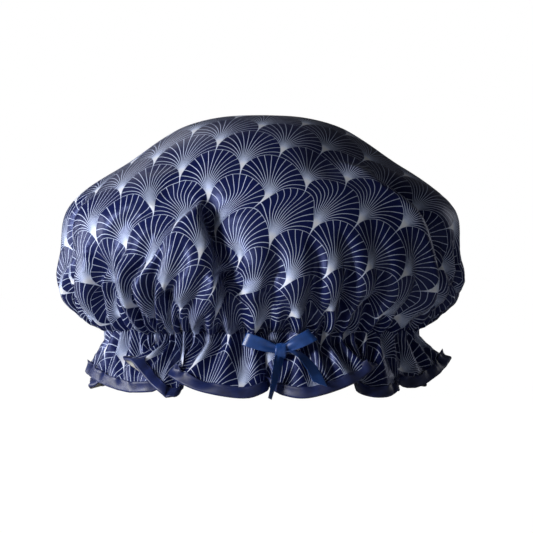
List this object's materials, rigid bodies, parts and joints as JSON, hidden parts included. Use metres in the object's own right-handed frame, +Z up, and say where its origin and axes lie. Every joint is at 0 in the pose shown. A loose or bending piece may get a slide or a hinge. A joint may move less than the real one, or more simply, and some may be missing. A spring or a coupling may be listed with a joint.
{
  "type": "shower cap",
  "caption": "Double-layer shower cap: puffed satin crown in a navy fan print, gathered on an elastic, with a bound flounce and a ribbon bow.",
  "frame": {"origin": "on the surface the cap stands on, under the middle of its width and depth", "axes": "+Z up; -Y is the front, where the bow is; +X is the right of someone who looks at the front"},
  "size_m": [0.2974, 0.2348, 0.2046],
  "materials": {
    "printed_satin": "polyester satin, navy with a white fan print, soft sheen",
    "film_lining": "PEVA film, milky white, semi-gloss",
    "braided_elastic": "flat braided elastic, white, matt",
    "satin_binding": "satin bias tape, royal navy, satin sheen",
    "satin_ribbon": "satin ribbon, royal blue, satin sheen"
  },
  "bodies": {
    "root": {"crown_cloth": "printed_satin", "flounce_cloth": "printed_satin", "crown_lining": "film_lining", "flounce_lining": "film_lining", "elastic_band": "braided_elastic", "edge_binding": "satin_binding", "bow_knot": "satin_ribbon", "bow_loop_left": "satin_ribbon", "bow_loop_right": "satin_ribbon", "bow_tail_left": "satin_ribbon", "bow_tail_right": "satin_ribbon"}
  },
  "joints": []
}
